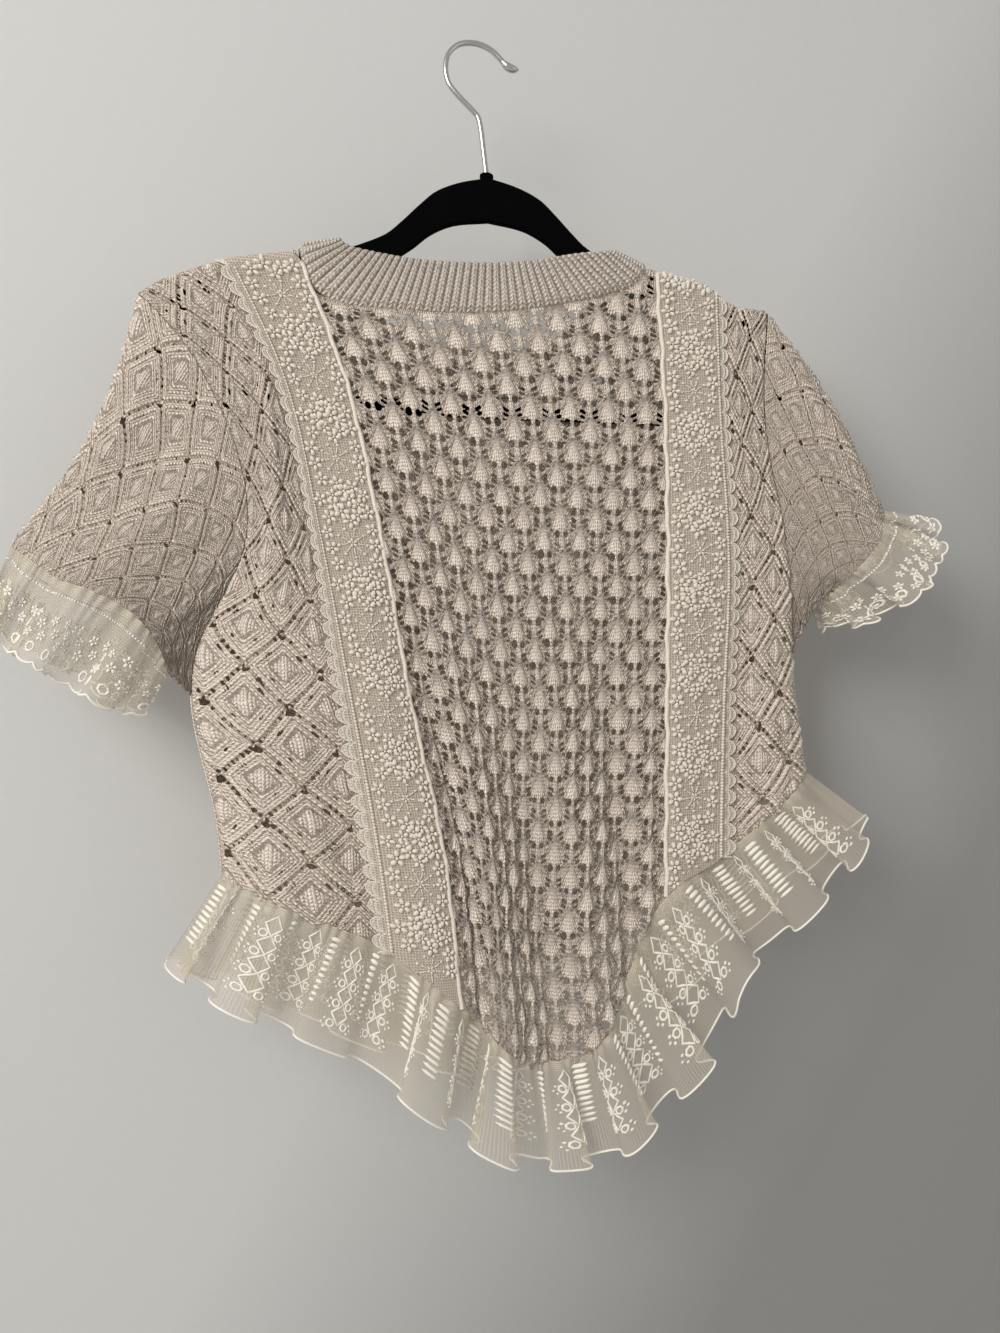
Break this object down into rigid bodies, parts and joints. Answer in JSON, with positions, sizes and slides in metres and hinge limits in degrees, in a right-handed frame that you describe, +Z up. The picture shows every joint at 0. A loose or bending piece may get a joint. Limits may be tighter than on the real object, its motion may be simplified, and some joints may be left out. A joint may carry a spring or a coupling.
{
  "type": "lace-knit crop top on a clothes hanger",
  "caption": "Short-sleeved lace-knit pull-on crop top with ribbed neckband, lace bands and gathered tulle ruffles at cuffs and pointed hem, hung on a slim hanger.",
  "frame": {"origin": "the underside of the hook's bend at its top, where it rests on the rail or nail that holds it", "axes": "+Z up; the garment's back faces -Y and its front +Y; +X to the wearer's right side"},
  "size_m": [0.6261, 0.1085, 0.726],
  "materials": {
    "knit": "cream-beige openwork cotton knit, ribbed at the neck",
    "lace": "matte cream floral tulle lace edging with a corded edge",
    "tulle": "thin cream tulle with satin-stitch embroidery, gathered",
    "velvet": "black flocking over the hanger's moulded body",
    "steel": "polished bent steel wire"
  },
  "bodies": {
    "root": {"back_centre": "knit", "back_side_left": "knit", "back_side_right": "knit", "front": "knit", "neckband": "knit", "lace_band_left": "lace", "lace_band_right": "lace", "hem_ruffle_back": "tulle", "hem_ruffle_front": "tulle", "sleeve_left": "knit", "sleeve_right": "knit", "cuff_ruffle_left": "tulle", "cuff_ruffle_right": "tulle", "hanger_body": "velvet", "hanger_hook": "steel"}
  },
  "joints": []
}
